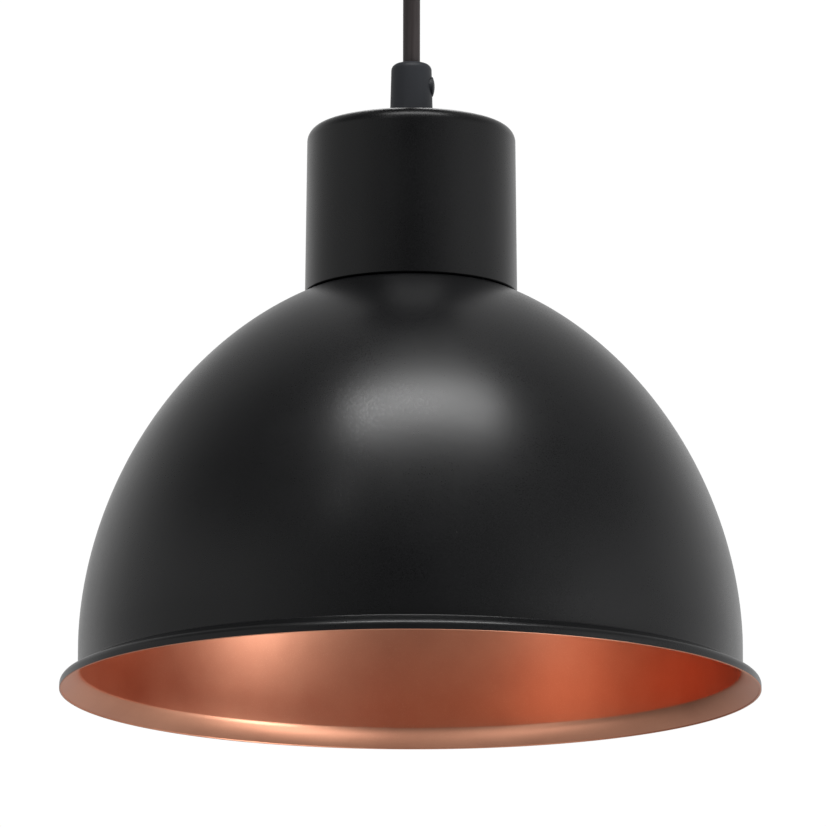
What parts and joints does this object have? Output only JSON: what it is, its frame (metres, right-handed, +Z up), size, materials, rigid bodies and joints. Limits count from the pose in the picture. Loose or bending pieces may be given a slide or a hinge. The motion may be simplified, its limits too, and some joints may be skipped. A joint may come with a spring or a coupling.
{
  "type": "pendant ceiling light",
  "caption": "Pendant ceiling light: a black steel dome shade and cylindrical lampholder cover hang by a cord from a round ceiling canopy, with a clear screw bulb fitted.",
  "frame": {"origin": "on the ceiling, at the centre of the mounting strap's top face, on the axis of the canopy, cord, lamp and bulb", "axes": "+Z up into the ceiling; +X towards the two cord grips' clamp screws, along the mounting strap"},
  "size_m": [0.2102, 0.2102, 0.3188],
  "materials": {
    "black_paint": "satin powder coat",
    "copper_paint": "satin metallic, on the shade's inside",
    "black_plastic": "fine matte",
    "cord_sheath": "satin",
    "zinc_steel": "zinc plated",
    "brass": "plain",
    "nickel": "nickel plated",
    "white_nylon": "moulded",
    "steatite": "unglazed",
    "brown_core": "plain",
    "blue_core": "plain",
    "clear_glass": "clear",
    "dark_glass": "black glass insulator",
    "phosphor": "phosphor-coated filament"
  },
  "bodies": {
    "ceiling_rose": {"mounting_strap": "zinc_steel", "canopy": "black_paint", "canopy_screw_left": "nickel", "canopy_screw_right": "nickel", "canopy_grip": "black_plastic", "canopy_grip_screw": "black_plastic", "canopy_washer": "zinc_steel", "canopy_nut": "zinc_steel", "terminal_block": "white_nylon", "block_fixing_screw": "zinc_steel", "terminal_insert_1": "brass", "terminal_insert_2": "brass", "terminal_screw_1": "brass", "terminal_screw_2": "brass", "terminal_screw_3": "brass", "terminal_screw_4": "brass", "canopy_cord_tail": "cord_sheath", "canopy_core_brown": "brown_core", "canopy_core_blue": "blue_core"},
    "cord": {"suspension_cord": "cord_sheath"},
    "lamp": {"lamp_grip": "black_plastic", "lamp_grip_screw": "black_plastic", "lamp_washer": "zinc_steel", "lamp_nut": "zinc_steel", "lampholder_cover": "black_paint", "lampholder_cap": "black_plastic", "lampholder_body": "black_plastic", "contact_carrier": "steatite", "terminal_plate_1": "brass", "terminal_plate_2": "brass", "holder_screw_1": "brass", "holder_screw_2": "brass", "centre_contact": "brass", "side_contact": "brass", "screw_liner": "brass", "shade_ring": "black_plastic", "shade": "black_paint", "lamp_cord_tail": "cord_sheath", "lamp_core_brown": "brown_core", "lamp_core_blue": "blue_core"},
    "bulb_tip": {"bulb_contact": "nickel", "bulb_insulator": "dark_glass"},
    "bulb": {"bulb_cap": "nickel", "bulb_glass": "clear_glass", "bulb_stem": "clear_glass", "filament_1": "phosphor", "filament_2": "phosphor", "filament_3": "phosphor", "filament_4": "phosphor", "filament_lead_1": "nickel", "filament_lead_2": "nickel", "filament_hub": "nickel"}
  },
  "joints": [
    {"name": "cord_swing", "type": "hinge", "parent": "ceiling_rose", "child": "cord", "pos_m": [0, 0, -0.0453], "axis": [0, 1, 0], "range_deg": [-40, 40]},
    {"name": "lamp_tilt", "type": "hinge", "parent": "cord", "child": "lamp", "pos_m": [0, 0, -0.1253], "axis": [1, 0, 0], "range_deg": [-40, 40]},
    {"name": "bulb_travel", "type": "slide", "parent": "lamp", "child": "bulb_tip", "axis": [0, 0, -1], "range_m": [0, 0.0146]},
    {"name": "bulb_turn", "type": "hinge", "parent": "bulb_tip", "child": "bulb", "pos_m": [0, 0, -0.19], "axis": [0, 0, -1], "range_deg": [0, 1440]}
  ],
  "couplings": [
    {"joint": "bulb_travel", "follows": "bulb_turn", "m_per_rad": 0.00057757}
  ]
}
